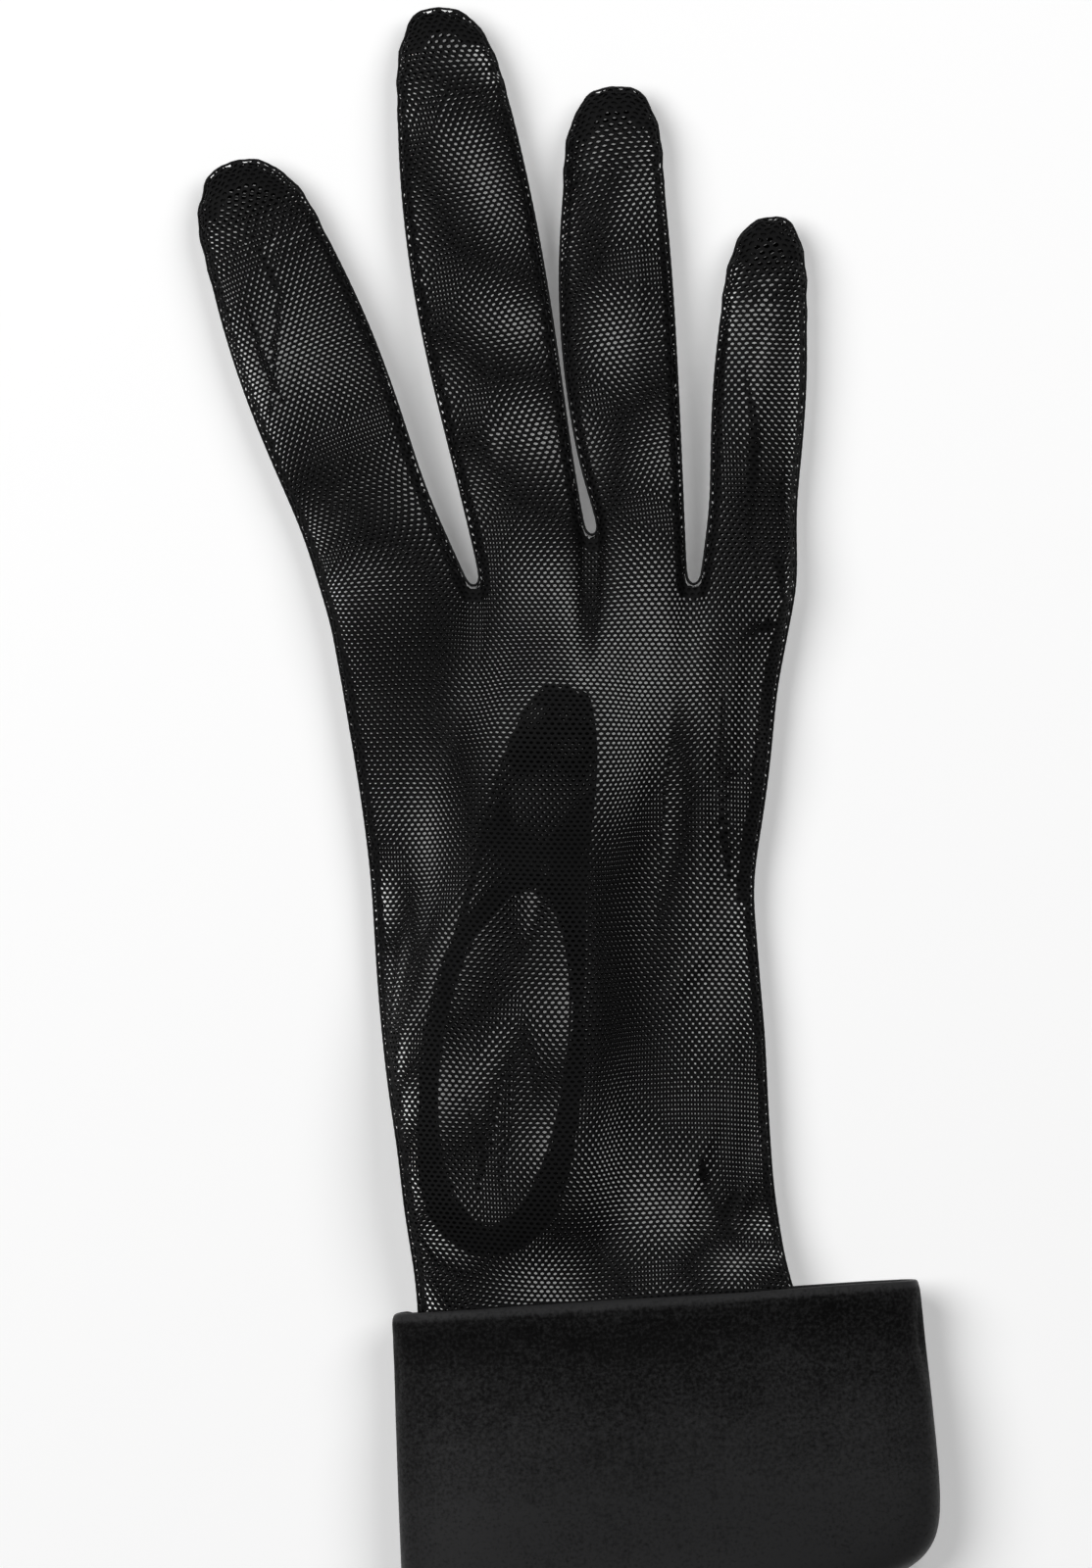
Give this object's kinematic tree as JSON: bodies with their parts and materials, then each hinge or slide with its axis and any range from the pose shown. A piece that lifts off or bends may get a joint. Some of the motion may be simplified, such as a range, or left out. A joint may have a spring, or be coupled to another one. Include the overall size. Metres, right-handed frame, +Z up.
{
  "type": "tulle glove",
  "caption": "A sheer black stretch-net dress glove with a wide turned-up satin cuff, lying palm down with its thumb folded flat under the hand.",
  "frame": {"origin": "centre of the glove's box on the surface that it lies on", "axes": "+Y to the fingertips, +X to the little finger's side, +Z up from the palm to the back of the hand"},
  "size_m": [0.1206, 0.26, 0.019],
  "materials": {
    "net": "matte",
    "satin": "satin"
  },
  "bodies": {
    "root": {"back_panel": "net", "palm_panel": "net", "fork_index_middle": "net", "fork_middle_ring": "net", "fork_ring_little": "net", "thumb": "net", "cuff": "satin"}
  },
  "joints": []
}
